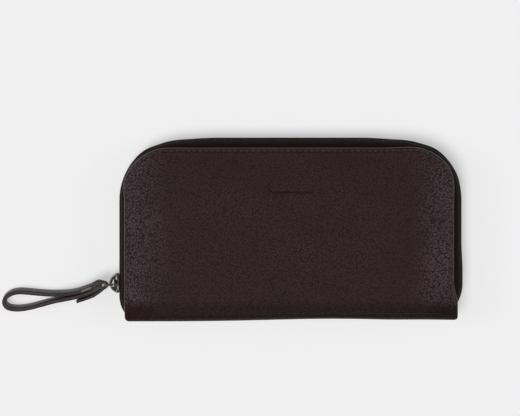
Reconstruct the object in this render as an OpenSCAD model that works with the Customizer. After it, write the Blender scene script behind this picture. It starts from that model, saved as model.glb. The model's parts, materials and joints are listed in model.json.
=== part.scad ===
// Zip-around wallet with an accordion inside and a leather wrist strap on its slider.
// The wallet lies on its back cover. X runs along the spine, Y from the spine to the zip, Z up.
// The origin is the middle of the back cover's outer face. Lengths are in millimetres.

/* [Covers] */
// Width of each leather cover along the spine
cover_w = 185; // [180:1:190]
// Height of the closed wallet's covers, spine included
cover_h = 96; // [94:1:98]
// Radius of the two corners away from the spine
corner_r = 26.5; // [24:0.5:28]
// Thickness of the closed wallet
total_t = 23; // [23:0.5:25]
// Thickness of the cover leather
leather_t = 1.2; // [1:0.1:1.4]

/* [Zip] */
// How far the zip stands out past the covers' left edge
bulge_left = 0.6; // [0.4:0.1:1.2]
// How far the zip stands out past the covers' right edge
bulge_right = 2.2; // [1.8:0.1:2.8]
// How far the zip stands out past the covers' top edge
bulge_top = 4.7; // [4.2:0.1:5.2]
// Radius of the zip's line round the corners
zip_corner_r = 34; // [33:0.5:35]
// Thickness of the woven zip tape
tape_t = 0.6; // [0.5:0.05:0.6]

/* [Inside] */
// Number of card slots stacked in each half
slot_count = 4; // [2:1:4]
// Distance between the top edges of two slots
slot_pitch = 11; // [9:0.5:12]
// Height of the coin pocket above the spine
pocket_h = 75; // [70:1:76]
// Depth of the folded gussets
gusset_depth = 14; // [10:1:16]

/* [Puller] */
// Width of the strap's leather
strap_w = 7; // [6:0.5:7]
// Thickness of the strap where it is doubled
strap_t = 2.2; // [2:0.1:2.2]
// Thickness of the strap's tail
strap_tail_t = 1.6; // [1.4:0.1:1.8]
// Thickness of the strap where it is pared to pass round the ring
strap_fold_t = 1.2; // [1:0.1:1.2]
// Diameter of the ring's wire
wire_d = 1.2; // [1:0.1:1.2]
// Distance between the ring's two bars
ring_l = 4.2; // [4.2:0.1:4.6]

/* [Hidden] */

leather_brown = [0.19, 0.14, 0.15];
lining_brown = [0.33, 0.24, 0.2];
tape_brown = [0.13, 0.07, 0.07];
board_grey = [0.55, 0.5, 0.45];
thread_brown = [0.22, 0.12, 0.12];
gunmetal = [0.36, 0.34, 0.32];
old_brass = [0.45, 0.4, 0.3];

$fn = 64;
arc_steps = 12;       // facets round each swept corner
mid_z = total_t / 2;
y_top = cover_h / 2;
y_low = -cover_h / 2;
x_edge = cover_w / 2;

// Layers of one half, measured from the outer face inwards
board_t = 0.6;
lining_t = 0.4;
slip_t = 0.5;
slot_t = 0.5;
board_z = leather_t;
lining_z = board_z + board_t;
slip_z = lining_z + lining_t + 0.2;
slot_z = slip_z + slip_t;
fold_gap = 0.2;                           // clearance between a cover and the spine
hinge_y = y_low + leather_t;              // the spine's fold lines
cover_low = hinge_y + fold_gap;
lining_inset = 2.6;
board_inset = 8;
board_low = -42;                          // board and lining stop short of the spine's fold
lining_low = -44.5;
stitch_inset = 1.8;
stitch_l = 2.5;
stitch_pitch = 3.2;
thread_d = 0.4;
groove_w = 0.6;
groove_d = 0.3;
stitch_low = -39;                         // where the seam starts and ends

// Card slots and slip panels
panel_half_w = 86;
panel_top = 37;
panel_low = -44;
panel_corner_r = 12;
slot_top = 33;
slot_corner_r = 3;

// Zip chain
coil_half_gap = 0.3;                      // half the slit between the two rows
coil_h = 1.3;
coil_d = 2;
coil_z = mid_z - coil_half_gap - coil_h;  // underside of the back row
zip_x_left = -x_edge - bulge_left;
zip_x_right = x_edge + bulge_right;
zip_y_top = y_top + bulge_top;
left_bend_y = -34;                        // where the zip's line starts to turn in
left_bend_r = 16;
left_bend_deg = 35;
right_bend_y = -27;
right_bend_r = 22;
right_bend_deg = 38;
tape_edge_inset = 0.4;
tape_flange_t = 0.45;                     // the sewn-in edge of the tape is pressed thin
flange_inset = 6;
stop_l = 1.8;
stop_w = 2.6;
stop_gap = 0.1;

// Coin pocket
pocket_half_t = 2.1;
pocket_half_w = 82;
pocket_panel_t = 0.7;
pocket_low = hinge_y + 0.8;
pocket_top = pocket_low + pocket_h;
coin_coil_h = 2;
coin_coil_w = 1.15;
coin_slit = 0.25;
coin_tape_t = 0.4;
coin_x = 64;                              // slider's place when the coin pocket is shut
coin_slider_l = 9;
coin_plate_t = 0.8;
coin_loop_h = 2.6;
coin_stop_x = coin_x + coin_slider_l / 2 + 0.4;
coin_tab_l = 17;
coin_tab_w = 4.6;
coin_tab_t = 1;

// Gussets
gusset_x = 81.5;                          // the leaves end on the coin pocket, inside its side seams
gusset_low = -36;
gusset_top = 6;
gusset_t = 0.4;
gusset_fold_t = 1.2;

// Slider, ring and strap
slider_y = -27;
slider_l = 11;
slider_w = 7;
plate_t = 0.9;
plate_gap = coil_d / 2 + 0.15;            // from the coil's middle to a plate
arch_r = 5.7;
arch_t = 0.9;
arch_w = 2.4;
arch_x = zip_x_left - 0.8;
pivot = [zip_x_left - 4.8, slider_y - 1];
ring_deg = 4;
ring_half_h = 4.6;
bar = pivot + ring_l * [-cos(ring_deg), -sin(ring_deg)];

// The strap's line, from its short tail round the ring's bar, out to the loop and back between
// its own two legs
strap_route = [
    [-117.0, -36.6], [-113.2, -35.3], [-109.4, -33.9], [-105.6, -32.2], [-103.2, -30.4],
    [-101.6, -29.55], [-100.8, -28.6], [-101.0, -27.3], [-102.4, -26.5],
    [-105.8, -27.2], [-109.2, -28.8], [-112.6, -30.1], [-116.2, -31.3], [-121.4, -32.4],
    [-127.0, -32.9], [-133.0, -33.0], [-139.0, -32.6], [-145.2, -32.0], [-150.6, -31.8],
    [-154.8, -32.8], [-157.8, -35.2], [-158.3, -38.0], [-156.6, -40.3], [-153.2, -41.2],
    [-149.0, -41.2], [-143.2, -40.2], [-136.8, -38.5], [-130.4, -36.8], [-124.2, -35.6],
    [-117.8, -34.2], [-112.0, -32.5], [-107.6, -30.6], [-104.6, -29.1]
];
strap_steps = 3;                          // sections between two points of the route
strap_fold_near = 3;                      // distance from the bar where the leather is pared
strap_fold_far = 7;
strap_lean = 14;                          // how far the loop leans over towards the spine
strap_down_x = -134;                      // where the strap comes down to the table
strap_up_x = -104;
strap_rest_z = 3.75;                      // middle of the strap where it lies on the table
strap_upright_x = -104;                   // the strap stands upright from here to the ring
strap_fold_i = 6 * strap_steps;           // the section at the ring's bar
strap_stitch_at = [3, 6, 31, 33, 35];     // sections with a thread, from the tail's end

function clamp01(v) = max(0, min(1, v));
function smooth(v) = let (c = clamp01(v)) c * c * (3 - 2 * c);

// A line made of straights and arcs. Each piece is [length, turn in degrees].
// pose is [x, y, heading in degrees]; the result is the pose at distance s.
function advance(pose, piece, s) =
    piece[1] == 0
        ? [pose[0] + s * cos(pose[2]), pose[1] + s * sin(pose[2]), pose[2]]
        : let (r = piece[0] / (piece[1] * PI / 180), h = pose[2] + piece[1] * s / piece[0])
          [pose[0] + r * (sin(h) - sin(pose[2])), pose[1] - r * (cos(h) - cos(pose[2])), h];
function line_length(pieces, i = 0) = i == len(pieces) ? 0 : pieces[i][0] + line_length(pieces, i + 1);
function pose_at(pose, pieces, s, i = 0) =
    i == len(pieces) - 1 || s <= pieces[i][0]
        ? advance(pose, pieces[i], s)
        : pose_at(advance(pose, pieces[i], pieces[i][0]), pieces, s - pieces[i][0], i + 1);
function start_of(pose, pieces, i) =
    i == 0 ? pose : advance(start_of(pose, pieces, i - 1), pieces[i - 1], pieces[i - 1][0]);
// Poses with the same number of steps on each piece, so that two lines can be joined by a wall
function stations(pose, pieces) = concat(
    [for (i = [0:len(pieces) - 1]) for (k = [0:arc_steps - 1])
        advance(start_of(pose, pieces, i), pieces[i], pieces[i][0] * k / arc_steps)],
    [start_of(pose, pieces, len(pieces))]);
function arc_piece(r, deg) = [r * deg * PI / 180, -deg];
// The point at offset out (to the left of the heading) from a pose, at height z
function offset_point(pose, out, z) = [pose[0] - out * sin(pose[2]), pose[1] + out * cos(pose[2]), z];

// The zip's line, from the left end near the spine round to the right end
zip_pieces = [
    arc_piece(left_bend_r, left_bend_deg),
    [zip_y_top - zip_corner_r - left_bend_y, 0],
    arc_piece(zip_corner_r, 90),
    [zip_x_right - zip_x_left - 2 * zip_corner_r, 0],
    arc_piece(zip_corner_r, 90),
    [zip_y_top - zip_corner_r - right_bend_y, 0],
    arc_piece(right_bend_r, right_bend_deg)
];
zip_start = [
    zip_x_left + left_bend_r * (1 - cos(left_bend_deg)),
    left_bend_y - left_bend_r * sin(left_bend_deg),
    90 + left_bend_deg
];
zip_end_low = right_bend_y - right_bend_r * sin(right_bend_deg);

// A cover's edge, inset, cut into the same seven pieces as the zip's line
function edge_pieces(inset) = let (r = corner_r - inset) [
    [left_bend_y - zip_start[1], 0],
    [y_top - corner_r - left_bend_y, 0],
    arc_piece(r, 90),
    [cover_w - 2 * corner_r, 0],
    arc_piece(r, 90),
    [y_top - corner_r - right_bend_y, 0],
    [right_bend_y - zip_end_low, 0]
];
function edge_start(inset) = [-x_edge + inset, zip_start[1], 90];

// A closed solid through rings of points, each ring with the same number of points
module skin(rings) {
    n = len(rings[0]);
    last = len(rings) - 1;
    polyhedron(
        points = [for (ring = rings) for (p = ring) p],
        faces = concat(
            [[for (i = [0:n - 1]) i]],
            [for (k = [0:last - 1]) for (i = [0:n - 1]) let (j = (i + 1) % n, a = k * n, b = a + n)
                each [[a + i, b + i, b + j], [a + i, b + j, a + j]]],
            [[for (i = [n - 1:-1:0]) last * n + i]]
        ),
        convexity = 10
    );
}

module rounded_top(half_w, low, top, r) {
    translate([-half_w, low]) square([2 * half_w, top - r - low]);
    translate([-half_w + r, top - r]) square([2 * (half_w - r), r]);
    for (side = [-1, 1]) translate([side * (half_w - r), top - r]) circle(r);
}

module cover_outline(inset, low) rounded_top(x_edge - inset, low, y_top - inset, corner_r - inset);

module mirrored_to_front() translate([0, 0, total_t]) mirror([0, 0, 1]) children();

// ---- One half: the back as drawn, the front as its mirror image ----

module leather() color(leather_brown) difference() {
    linear_extrude(leather_t) cover_outline(0, cover_low);
    translate([0, 0, -1]) linear_extrude(1 + groove_d) difference() {
        cover_outline(stitch_inset - groove_w / 2, stitch_low - 2);
        cover_outline(stitch_inset + groove_w / 2, stitch_low - 3);
    }
}

module board() color(board_grey) translate([0, 0, board_z])
    linear_extrude(board_t) cover_outline(board_inset, board_low);

module lining() color(lining_brown) translate([0, 0, lining_z])
    linear_extrude(lining_t) cover_outline(lining_inset, lining_low);

module slip_panel() color(lining_brown) translate([0, 0, slip_z])
    linear_extrude(slip_t) rounded_top(panel_half_w, panel_low, panel_top, panel_corner_r);

module card_slot(i) color(leather_brown) translate([0, 0, slot_z + (i - 1) * slot_t])
    linear_extrude(slot_t)
        rounded_top(panel_half_w, panel_low, slot_top - (i - 1) * slot_pitch, slot_corner_r);

module zip_tape() color(tape_brown) {
    line = stations(zip_start, zip_pieces);
    edge = stations(edge_start(0), edge_pieces(0));
    low_z = leather_t + 0.05;
    skin([for (i = [0:len(line) - 1]) [
        offset_point(line[i], tape_t / 2, coil_z),
        offset_point(edge[i], -tape_edge_inset, low_z),
        offset_point(edge[i], -flange_inset, low_z),
        offset_point(edge[i], -flange_inset, low_z + tape_flange_t),
        offset_point(edge[i], -tape_edge_inset - tape_t, low_z + tape_flange_t),
        offset_point(line[i], -tape_t / 2, coil_z)
    ]]);
}

module zip_coil() color(tape_brown) skin([
    for (p = stations(zip_start, zip_pieces)) [
        offset_point(p, coil_d / 2, coil_z),
        offset_point(p, -coil_d / 2, coil_z),
        offset_point(p, -coil_d / 2, coil_z + coil_h),
        offset_point(p, coil_d / 2, coil_z + coil_h)
    ]
]);

module stitching() color(thread_brown) {
    pieces = [
        [y_top - corner_r - stitch_low, 0],
        arc_piece(corner_r - stitch_inset, 90),
        [cover_w - 2 * corner_r, 0],
        arc_piece(corner_r - stitch_inset, 90),
        [y_top - corner_r - stitch_low, 0]
    ];
    start = [-x_edge + stitch_inset, stitch_low, 90];
    count = floor((line_length(pieces) - stitch_l) / stitch_pitch);
    for (k = [0:count]) {
        p = pose_at(start, pieces, stitch_l / 2 + k * stitch_pitch);
        translate([p[0], p[1], 0.02]) rotate([0, 0, p[2]])
            translate([-stitch_l / 2, -thread_d / 2, 0]) cube([stitch_l, thread_d, groove_d - 0.05]);
    }
}

// A metal clamp just past each end of a row of coil
module zip_stops() color(old_brass) {
    line_end = pose_at(zip_start, zip_pieces, line_length(zip_pieces));
    for (end = [[zip_start, -stop_gap - stop_l], [line_end, stop_gap]])
        translate([end[0][0], end[0][1], coil_z - 0.2]) rotate([0, 0, end[0][2]])
            translate([end[1], -stop_w / 2, 0]) cube([stop_l, stop_w, coil_h + 0.2]);
}

// ---- Spine and coin pocket ----

module spine_leather() color(leather_brown) {
    half_w = x_edge - 2;
    edge = 0.9;
    translate([-half_w, y_low, edge]) cube([2 * half_w, leather_t, total_t - 2 * edge]);
}

module spine_lining() color(lining_brown) {
    edge = 5.5;
    translate([-panel_half_w, hinge_y, edge])
        cube([2 * panel_half_w, pocket_low - hinge_y, total_t - 2 * edge]);
}

module pocket_panel() color(leather_brown) translate([0, 0, mid_z - pocket_half_t])
    linear_extrude(pocket_panel_t) rounded_top(pocket_half_w, pocket_low, pocket_top, slot_corner_r);

module pocket_seam(side) color(lining_brown)
    translate([side * (pocket_half_w - 1) - 1, pocket_low, mid_z - pocket_half_t + pocket_panel_t])
        cube([2, pocket_h - 5, 2 * (pocket_half_t - pocket_panel_t)]);

module coin_zip_tape() color(tape_brown)
    translate([-pocket_half_w + 4, pocket_top - 7, mid_z - pocket_half_t + pocket_panel_t])
        cube([2 * (pocket_half_w - 4), 7.2, coin_tape_t]);

module coin_zip_coil() color(tape_brown)
    translate([-coin_stop_x, pocket_top + 0.2, mid_z - coin_slit - coin_coil_w])
        cube([2 * coin_stop_x, coin_coil_h, coin_coil_w]);

module coin_zip_stops() color(old_brass) for (side = [-1, 1])
    translate([side * (coin_stop_x + stop_l / 2) - stop_l / 2, pocket_top + 0.2, mid_z - 1.6])
        cube([stop_l, coin_coil_h, 3.2]);

// Two leaves joined at a fold that points inwards
module gusset(side) color(lining_brown) {
    z0 = slot_z + slot_count * slot_t + 0.1;
    z1 = mid_z - pocket_half_t - 0.1;
    middle = (z0 + z1) / 2;
    outline = [
        [0, z0], [gusset_depth, middle], [0, z1],
        [0, z1 - gusset_t], [gusset_depth - gusset_fold_t, middle], [0, z0 + gusset_t]
    ];
    translate([0, gusset_top, 0]) rotate([90, 0, 0]) linear_extrude(gusset_top - gusset_low)
        polygon([for (p = outline) [side * (gusset_x - p[0]), p[1]]]);
}

// ---- Sliders, ring and strap ----

module zip_slider() color(gunmetal) {
    x0 = zip_x_left;
    low = slider_y - slider_l / 2;
    // outer and inner plates
    translate([x0 - plate_gap - plate_t, low, mid_z - slider_w / 2]) cube([plate_t, slider_l, slider_w]);
    translate([x0 + plate_gap, low, mid_z - slider_w / 2]) cube([plate_t, slider_l, slider_w]);
    // wedge that parts the two rows
    translate([x0 - plate_gap - 0.1, low + 0.5, mid_z - 0.15]) cube([2 * plate_gap + 0.2, 3, 0.3]);
    // lip that grips the back row
    translate([x0 - plate_gap - 0.1, low, mid_z - slider_w / 2]) cube([0.7, slider_l, 0.9]);
    // arch that carries the ring
    translate([0, 0, mid_z - arch_w / 2]) difference() {
        translate([arch_x, slider_y, 0]) cylinder(r = arch_r, h = arch_w);
        translate([arch_x, slider_y, -1]) cylinder(r = arch_r - arch_t, h = arch_w + 2);
        translate([x0 - plate_gap - plate_t + 0.1, slider_y - 10, -1]) cube([20, 20, arch_w + 2]);
    }
}

module wire(l) cylinder(d = wire_d, h = l);

module pull_ring() color(old_brass)
    translate([pivot[0], pivot[1], mid_z]) rotate([0, 0, 180 + ring_deg]) {
        for (x = [0, ring_l]) translate([x, 0, -ring_half_h]) wire(2 * ring_half_h);
        for (z = [-ring_half_h, ring_half_h]) {
            translate([0, 0, z]) rotate([0, 90, 0]) wire(ring_l);
            for (x = [0, ring_l]) translate([x, 0, z]) sphere(d = wire_d);
        }
    }

// Points of a smooth line through the route
function spline(a, b, c, d, t) =
    0.5 * (2 * b + (c - a) * t + (2 * a - 5 * b + 4 * c - d) * t * t + (3 * b - a - 3 * c + d) * t * t * t);
function route_point(i) = strap_route[max(0, min(len(strap_route) - 1, i))];
strap_line = concat(
    [for (i = [0:len(strap_route) - 2]) for (k = [0:strap_steps - 1])
        spline(route_point(i - 1), route_point(i), route_point(i + 1), route_point(i + 2), k / strap_steps)],
    [route_point(len(strap_route) - 1)]);
function strap_z(x) = let (rise = smooth((x - strap_down_x) / (strap_up_x - strap_down_x)))
    strap_rest_z + (mid_z - strap_rest_z) * rise;
strap_up = strap_w / 2 * cos(strap_lean);
function strap_heading(i) =
    let (a = strap_line[max(0, i - 1)], b = strap_line[min(len(strap_line) - 1, i + 1)])
    (b - a) / norm(b - a);
function strap_side(i) = let (h = strap_heading(i)) [-h[1], h[0]];
// Thin round the ring's bar, and thinner in the tail than in the loop
function strap_thickness(i) =
    let (far = norm(strap_line[i] - bar) - strap_fold_near, full = i < strap_fold_i ? strap_tail_t : strap_t)
    strap_fold_t + (full - strap_fold_t) * smooth(far / (strap_fold_far - strap_fold_near));
// Sideways shift of the strap's upper edge from the upright
function strap_shift(i) =
    let (h = strap_heading(i), lean = strap_lean * smooth((strap_upright_x - strap_line[i][0]) / 5))
    strap_up * tan(lean) * h[0] * [h[1], -h[0]];

module wrist_strap() color(leather_brown) skin([
    for (i = [0:len(strap_line) - 1])
        [for (c = [[-1, -1], [1, -1], [1, 1], [-1, 1]])
            let (q = strap_line[i] + c[0] * strap_thickness(i) / 2 * strap_side(i) + c[1] * strap_shift(i))
                [q[0], q[1], strap_z(strap_line[i][0]) + c[1] * strap_up]]
]);

// Threads that hold the strap's layers together, on the outer faces of its upper leg and its tail
module strap_stitching() color(thread_brown) for (i = strap_stitch_at) for (level = [-0.7, 0.7]) {
    h = strap_heading(i);
    out = strap_thickness(i) / 2 + 0.17;
    q = strap_line[i] - out * strap_side(i) + level * strap_shift(i);
    translate([q[0], q[1], strap_z(strap_line[i][0]) + level * strap_up])
        rotate([0, 0, atan2(h[1], h[0])]) translate([-0.8, -0.15, -0.15]) cube([1.6, 0.3, 0.3]);
}

// The top plate rides on the coil, the web between the rows and the lower plate inside the pocket
module coin_slider() color(gunmetal) {
    coil_top = pocket_top + 0.2 + coin_coil_h;
    loop_y = coil_top + 0.15 + coin_plate_t;
    translate([coin_x - coin_slider_l / 2, 0, mid_z]) {
        translate([0, coil_top + 0.15, -2.5]) cube([coin_slider_l, coin_plate_t, 5]);
        translate([0, pocket_top - 1, -0.75]) cube([coin_slider_l, 0.9, 1.5]);
        translate([0.5, pocket_top - 0.5, -0.1]) cube([2.5, coil_top - pocket_top + 1, 0.2]);
        difference() {
            translate([1, loop_y - 0.1, -0.9]) cube([coin_slider_l - 2, coin_loop_h, 1.8]);
            translate([2, loop_y, -2]) cube([coin_slider_l - 4, coin_loop_h - 0.9, 4]);
        }
    }
}

module coin_pull_tab() color(gunmetal) {
    pivot_y = pocket_top + 0.2 + coin_coil_h + 0.15 + coin_plate_t + (coin_loop_h - 0.9) / 2;
    translate([coin_x, pivot_y, mid_z]) {
        translate([0, 0, -coin_tab_w / 2]) cylinder(d = 1.2, h = coin_tab_w);
        difference() {
            translate([-coin_tab_l, -coin_tab_t / 2, -coin_tab_w / 2])
                cube([coin_tab_l, coin_tab_t, coin_tab_w]);
            translate([-4.4, -coin_tab_t, -1.3]) cube([5.4, 2 * coin_tab_t, 2.6]);
        }
    }
}

leather();  // back_leather
board();  // back_board
lining();  // back_lining
slip_panel();  // back_slip_panel
card_slot(1);  // back_card_slot_1
card_slot(2);  // back_card_slot_2
card_slot(3);  // back_card_slot_3
card_slot(4);  // back_card_slot_4
zip_tape();  // back_zip_tape
zip_coil();  // back_zip_coil
zip_stops();  // back_zip_stops
stitching();  // back_stitching
spine_leather();
spine_lining();
pocket_panel();  // pocket_back_panel
mirrored_to_front() pocket_panel();  // pocket_front_panel
pocket_seam(-1);  // pocket_left_seam
pocket_seam(1);  // pocket_right_seam
coin_zip_tape();  // coin_zip_back_tape
mirrored_to_front() coin_zip_tape();  // coin_zip_front_tape
coin_zip_coil();  // coin_zip_back_coil
mirrored_to_front() coin_zip_coil();  // coin_zip_front_coil
coin_zip_stops();
gusset(-1);  // gusset_back_left
gusset(1);  // gusset_back_right
mirrored_to_front() gusset(-1);  // gusset_front_left
mirrored_to_front() gusset(1);  // gusset_front_right
mirrored_to_front() leather();  // front_leather
mirrored_to_front() board();  // front_board
mirrored_to_front() lining();  // front_lining
mirrored_to_front() slip_panel();  // front_slip_panel
mirrored_to_front() card_slot(1);  // front_card_slot_1
mirrored_to_front() card_slot(2);  // front_card_slot_2
mirrored_to_front() card_slot(3);  // front_card_slot_3
mirrored_to_front() card_slot(4);  // front_card_slot_4
mirrored_to_front() zip_tape();  // front_zip_tape
mirrored_to_front() zip_coil();  // front_zip_coil
mirrored_to_front() zip_stops();  // front_zip_stops
mirrored_to_front() stitching();  // front_stitching
zip_slider();
pull_ring();
wrist_strap();
strap_stitching();
coin_slider();
coin_pull_tab();
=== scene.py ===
"""Looks of a zip-around wallet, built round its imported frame.

Lengths here are millimetres in the frame's own axes, and add_mesh turns them into Blender's metres.
The wallet lies on its back cover: X along the spine, Y from the spine to the zip, Z up.
"""
import json
import math

import bmesh
import bpy
import numpy as np
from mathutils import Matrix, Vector, noise


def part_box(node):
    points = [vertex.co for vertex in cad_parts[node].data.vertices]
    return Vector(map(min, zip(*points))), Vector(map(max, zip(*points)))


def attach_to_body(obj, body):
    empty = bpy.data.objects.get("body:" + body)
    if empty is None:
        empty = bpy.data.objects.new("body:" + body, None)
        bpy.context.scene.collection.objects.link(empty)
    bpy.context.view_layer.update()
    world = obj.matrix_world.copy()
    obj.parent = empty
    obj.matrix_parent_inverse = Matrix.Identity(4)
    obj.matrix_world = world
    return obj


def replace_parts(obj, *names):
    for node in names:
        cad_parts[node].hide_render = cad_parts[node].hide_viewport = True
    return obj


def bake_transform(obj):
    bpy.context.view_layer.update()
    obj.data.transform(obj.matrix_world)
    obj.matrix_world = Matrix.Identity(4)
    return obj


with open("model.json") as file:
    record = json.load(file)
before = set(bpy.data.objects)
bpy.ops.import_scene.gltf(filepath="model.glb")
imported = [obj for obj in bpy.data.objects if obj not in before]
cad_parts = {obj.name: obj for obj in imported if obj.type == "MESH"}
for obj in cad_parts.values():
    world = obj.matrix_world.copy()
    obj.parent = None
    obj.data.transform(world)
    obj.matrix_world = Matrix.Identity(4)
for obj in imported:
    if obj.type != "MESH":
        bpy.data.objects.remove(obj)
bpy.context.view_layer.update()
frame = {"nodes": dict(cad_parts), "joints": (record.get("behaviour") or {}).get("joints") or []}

MM = 0.001


def box_mm(node):
    low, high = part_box(node)
    return np.array(low) / MM, np.array(high) / MM


joints = {joint["name"]: joint for joint in frame["joints"]}


def joint_mm(name):
    return np.array(joints[name]["pos_m"]) / MM


# ---- Sizes read from the frame ----

EDGE_X, Y_TOP, LEATHER_T = box_mm("back_leather")[1]
Y_LOW = box_mm("spine_leather")[0][1]
TOTAL_T = box_mm("front_leather")[1][2]
MID_Z = TOTAL_T / 2
coil_low, coil_high = box_mm("back_zip_coil")
COIL_HALF = 1.0
ZIP_LEFT = coil_low[0] + COIL_HALF
ZIP_RIGHT = coil_high[0] - COIL_HALF
ZIP_TOP = coil_high[1] - COIL_HALF
RING_PIVOT = joint_mm("ring_swing")
STRAP_BAR = joint_mm("strap_swing")
slider_low, slider_high = box_mm("zip_slider")
SLIDER_Y = (slider_low[1] + slider_high[1]) / 2

# ---- Shape constants that the CAD model shares ----

CORNER_R = 26.5
ZIP_CORNER_R = 34.0
LEFT_BEND_Y, LEFT_BEND_R, LEFT_BEND_DEG = -34.0, 16.0, 35.0
RIGHT_BEND_Y, RIGHT_BEND_R, RIGHT_BEND_DEG = -27.0, 22.0, 38.0
STITCH_INSET = 1.8
LINING_INSET = 2.6
STITCH_LOW = -39.0
STITCH_PITCH = 3.2


# ---- Camera, lights and floor ----

def make_camera():
    """Straight down on the wallet from far above, with the strap at the picture's left edge."""
    span, lens, sensor = 287.6, 150.0, 36.0
    above_x, above_y = -16.3, 14.4
    data = bpy.data.cameras.new("camera")
    data.lens = lens
    data.sensor_width = sensor
    camera = bpy.data.objects.new("camera", data)
    camera.location = np.array([above_x, above_y, MID_Z + span * lens / sensor]) * MM
    bpy.context.scene.collection.objects.link(camera)
    bpy.context.scene.camera = camera


def add_sun(name, direction, strength, angle_deg):
    """direction points from the object to the light."""
    data = bpy.data.lights.new(name, "SUN")
    data.energy = strength
    data.angle = math.radians(angle_deg)
    light = bpy.data.objects.new(name, data)
    light.rotation_euler = Vector(direction).to_track_quat("Z", "Y").to_euler()
    bpy.context.scene.collection.objects.link(light)


def make_studio():
    add_sun("overhead", (-0.22, -0.28, 0.94), 1.5, 24)
    add_sun("left", (-0.75, 0.02, 0.6), 0.3, 30)
    add_sun("right", (0.75, 0.05, 0.6), 0.2, 30)
    world = bpy.data.worlds.new("studio")
    world.use_nodes = True
    background = world.node_tree.nodes["Background"]
    background.inputs["Color"].default_value = (1.0, 0.99, 0.98, 1)
    background.inputs["Strength"].default_value = 0.1
    bpy.context.scene.world = world
    bpy.context.scene.view_settings.view_transform = "Standard"

    half, low = 4000.0, -0.05
    corners = [(-half, -half, low), (half, -half, low), (half, half, low), (-half, half, low)]
    floor = add_mesh("floor", corners, [(0, 1, 2, 3)], [floor_material()], smooth=False)


# ---- Materials ----

class Graph:
    """A Principled material whose nodes are added by short calls."""

    def __init__(self, name):
        self.material = bpy.data.materials.new(name)
        self.material.use_nodes = True
        self.tree = self.material.node_tree
        self.shader = self.tree.nodes["Principled BSDF"]
        self.output = self.tree.nodes["Material Output"]

    def add(self, kind, settings=None, **inputs):
        """A node with its properties from settings and its inputs from the keywords."""
        node = self.tree.nodes.new("ShaderNode" + kind)
        for key, value in (settings or {}).items():
            setattr(node, key, value)
        for key, value in inputs.items():
            self.put(node, int(key[1:]) if key[0] == "_" else key.replace("_", " "), value)
        return node

    def put(self, node, key, value):
        if isinstance(value, bpy.types.NodeSocket):
            self.tree.links.new(value, node.inputs[key])
        elif isinstance(value, bpy.types.Node):
            self.tree.links.new(value.outputs[0], node.inputs[key])
        else:
            node.inputs[key].default_value = value

    def set(self, **inputs):
        for key, value in inputs.items():
            self.put(self.shader, key.replace("_", " "), value)

    def math(self, operation, a, b=0.0, clamp=False):
        return self.add("Math", {"operation": operation, "use_clamp": clamp}, _0=a, _1=b)

    def ramp(self, value, low, high, to_low=0.0, to_high=1.0):
        return self.add("MapRange", {"interpolation_type": "SMOOTHSTEP"},
                        _0=value, _1=low, _2=high, _3=to_low, _4=to_high)

    def mix(self, factor, a, b):
        node = self.add("Mix", {"data_type": "RGBA"}, _0=factor)
        self.put(node, 6, a)
        self.put(node, 7, b)
        return node.outputs[2]

    def bump(self, height, distance_mm, strength=1.0, normal=None):
        node = self.add("Bump", Height=height, Distance=distance_mm * MM, Strength=strength)
        if normal is not None:
            self.put(node, "Normal", normal)
        return node

    def surface(self, value, dark, light, bump_mm, rough, span=(0.0, 1.0)):
        """Colour, relief and roughness that all follow one value."""
        self.set(Base_Color=self.mix(value, dark, light), Normal=self.bump(value, bump_mm),
                 Roughness=self.ramp(value, *span, *rough))

    def position(self):
        return self.add("TexCoord").outputs["Object"]

    def noise(self, vector, per_mm, detail=2.0, roughness=0.5):
        return self.add("TexNoise", Vector=vector, Scale=per_mm / MM, Detail=detail,
                        Roughness=roughness).outputs[0]


def rgb(red, green, blue):
    """A colour given as sRGB bytes, as linear values."""
    def linear(byte):
        c = byte / 255
        return c / 12.92 if c <= 0.04045 else ((c + 0.055) / 1.055) ** 2.4
    return (linear(red), linear(green), linear(blue), 1)


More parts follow.
